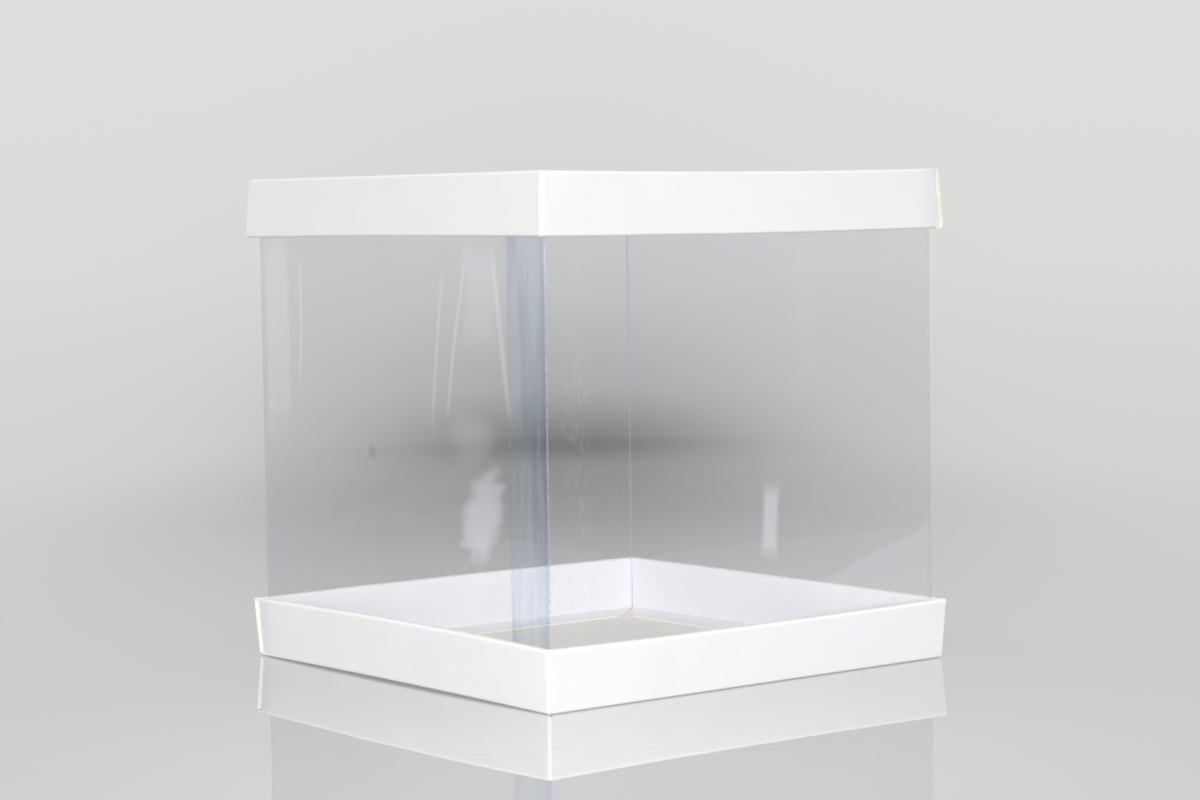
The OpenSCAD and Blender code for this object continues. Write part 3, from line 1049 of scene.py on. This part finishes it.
def mirroredPlace(glint):  # where a card hangs to be seen in the film, and the point it faces
    along, up = glint["seen"]
    if glint["panel"] == "left":
        aim, facing = Vector((-sleeveHalf, along, up)), Vector((1, 0, 0))
    else:
        aim, facing = Vector((along, -sleeveHalf, up)), Vector((0, 1, 0))
    look = (aim - Vector(shot["place"])).normalized()
    return {"place": aim + glint["away"] * look.reflect(facing), "aim": aim}


def softCard(data, card):  # fades a lamp's light towards its edges, unevenly, as a rippled sheet shows it
    data.use_nodes = True
    tree = data.node_tree
    tree.nodes.clear()
    spot = addNode(tree, "ShaderNodeNewGeometry").outputs["Parametric"]
    centred = addNode(tree, "ShaderNodeVectorMath", {0: spot, 1: (0.5, 0.5, 0.0)}, operation="SUBTRACT")
    flat = addNode(tree, "ShaderNodeVectorMath", {0: centred, 1: (2.0, 2.0, 0.0)}, operation="MULTIPLY")
    ripples = [side / card["ripple"] for side in card["size"]] + [0.0]
    grown = addNode(tree, "ShaderNodeVectorMath", {0: flat, 1: ripples}, operation="MULTIPLY")
    wander = addNode(  # each card's own height picks its noise
        tree, "ShaderNodeTexNoise",
        {"Vector": grown, "W": card["size"][1] / mm, "Scale": 1.0, "Detail": 2.0},
        noise_dimensions="4D",
    )
    shift = addNode(
        tree, "ShaderNodeMath", {0: wander, 1: card["uneven"], 2: -noiseMean * card["uneven"]},
        operation="MULTIPLY_ADD",
    )
    if card["round"]:
        reach = addNode(tree, "ShaderNodeVectorMath", {0: flat}, operation="LENGTH").outputs["Value"]
    else:
        parts = addNode(tree, "ShaderNodeSeparateXYZ", {"Vector": flat}).outputs
        spans = [addNode(tree, "ShaderNodeMath", {0: parts[i]}, operation="ABSOLUTE") for i in (0, 1)]
        reach = addNode(tree, "ShaderNodeMath", {0: spans[0], 1: spans[1]}, operation="MAXIMUM")
    edge = addNode(tree, "ShaderNodeMath", {0: reach, 1: shift}, operation="ADD")
    fade = addNode(
        tree, "ShaderNodeMapRange",
        {"Value": edge, "From Min": 1.0 - card["soft"], "From Max": 1.0, "To Min": 1.0, "To Max": 0.0},
        interpolation_type="SMOOTHSTEP",
    )
    faded = addNode(tree, "ShaderNodeEmission", {"Strength": fade})
    addNode(tree, "ShaderNodeOutputLight", {"Surface": faded})


def onlyOn(piece):  # the collection that keeps a lamp to one piece
    name = piece + "Only"
    if name not in bpy.data.collections:
        bpy.data.collections.new(name).objects.link(bpy.data.objects[piece])
    return bpy.data.collections[name]


def hangLamp(name, card, power):
    data = bpy.data.lights.new(name, "AREA")
    data.shape = "RECTANGLE"
    data.size, data.size_y = card["size"]
    data.energy = power
    softCard(data, card)
    lamp = makeObject(name, data)
    lamp.location = card["place"]
    facing = (Vector(card["aim"]) - Vector(card["place"])).to_track_quat("-Z", "Y")
    lamp.rotation_euler = (facing @ Quaternion((0, 0, 1), math.radians(card["tilt"]))).to_euler()
    lamp.visible_camera = False
    if "only" in card:
        lamp.light_linking.receiver_collection = onlyOn(card["only"])
    return data


def buildLamps():
    for name, lamp in lamps.items():
        hangLamp(name, {**plainCard, "uneven": 0.0, **lamp}, lamp["power"])
    # Blender brightens a lamp as its spread narrows; focus undoes that, so glow is how bright a card looks
    focus = math.tan(glintSpread / 2) / (math.tan(glintSpread / 2) - glintSpread / 2)
    for name, glint in glints.items():
        card = {**plainGlint, **glint}
        card.update(mirroredPlace(card))
        width, height = card["size"]
        data = hangLamp(name, card, card["glow"] * math.pi * width * height / focus)
        data.spread = glintSpread
    world = bpy.data.worlds.new("studio")
    scene.world = world
    world.use_nodes = True
    sky = world.node_tree.nodes["Background"]
    sky.inputs["Color"].default_value = srgb(fill["colour"])
    sky.inputs["Strength"].default_value = fill["strength"]
    print("lamps made")


buildLamps()
scene.view_settings.view_transform = "Standard"
scene.cycles.transparent_max_bounces = 32  # a look through the whole box crosses many faces of film
